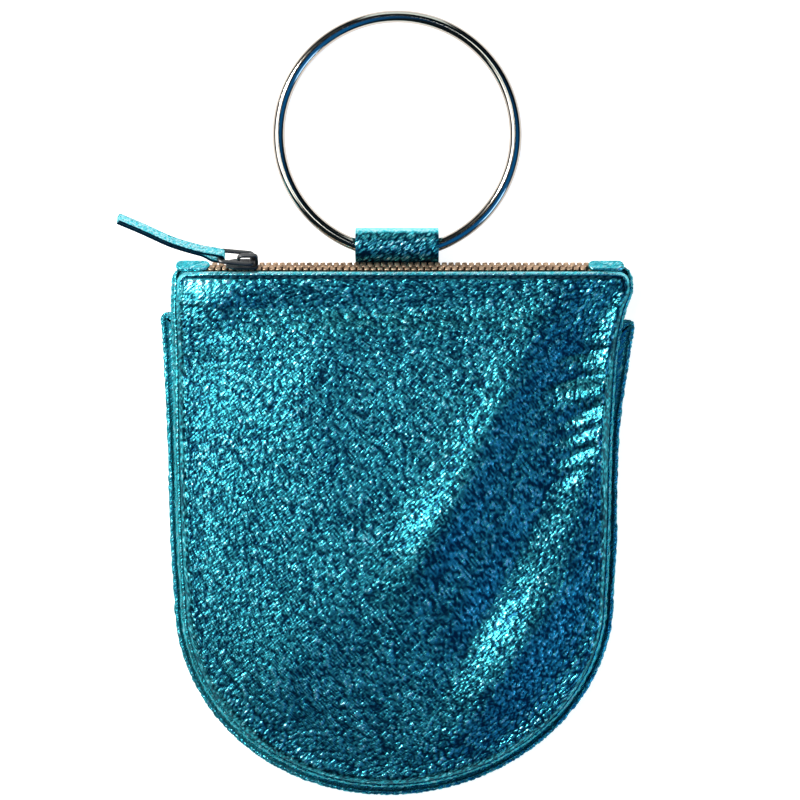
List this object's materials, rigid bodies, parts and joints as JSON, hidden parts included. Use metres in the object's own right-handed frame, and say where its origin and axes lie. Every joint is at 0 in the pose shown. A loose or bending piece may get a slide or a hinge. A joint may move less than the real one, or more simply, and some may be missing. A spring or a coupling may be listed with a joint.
{
  "type": "ring handle bag",
  "caption": "Flat U-shaped leather pouch with a zip along its top, a slip pocket behind and a round metal ring handle held in a leather strap.",
  "frame": {"origin": "on the surface that the bag lies on, under the pouch's middle, on the line through the middle of the ring's strap", "axes": "+X along the zip to the end away from its slider, +Y from the round bottom to the ring, +Z out of the front, off the surface"},
  "size_m": [0.2064, 0.3154, 0.0301],
  "materials": {
    "front_leather": "metallic teal pebbled leather, shiny",
    "back_leather": "metallic teal pebbled leather, shiny",
    "pocket_leather": "metallic teal pebbled leather, shiny",
    "trim_leather": "metallic teal leather, smooth",
    "strap_leather": "metallic teal pebbled leather, shiny",
    "pull_leather": "metallic teal leather, smooth, cut edges",
    "zip_tape": "woven brown tape",
    "zip_teeth": "antique copper brown, polished tips",
    "gunmetal": "dark gunmetal plate, polished",
    "ring_metal": "dark gunmetal plate, mirror polished"
  },
  "bodies": {
    "bag": {"front_panel": "front_leather", "back_panel": "back_leather", "back_pocket": "pocket_leather", "zip_tape": "zip_tape", "zip_teeth": "zip_teeth", "zip_end_tab_left": "trim_leather", "zip_end_tab_right": "trim_leather", "zip_slider": "gunmetal", "ring_tab": "strap_leather"},
    "ring": {"ring_handle": "ring_metal"},
    "pull": {"pull_link": "gunmetal", "pull_thong": "pull_leather"}
  },
  "joints": [
    {"name": "ring_swing", "type": "hinge", "parent": "bag", "child": "ring", "pos_m": [0, 0.1126, 0.00584], "axis": [1, 0, 0], "range_deg": [0, 120]},
    {"name": "pull_swing", "type": "hinge", "parent": "bag", "child": "pull", "pos_m": [-0.05765, 0.10834, 0.0126], "axis": [0, 0.7071, -0.7071], "range_deg": [0, 120]}
  ]
}
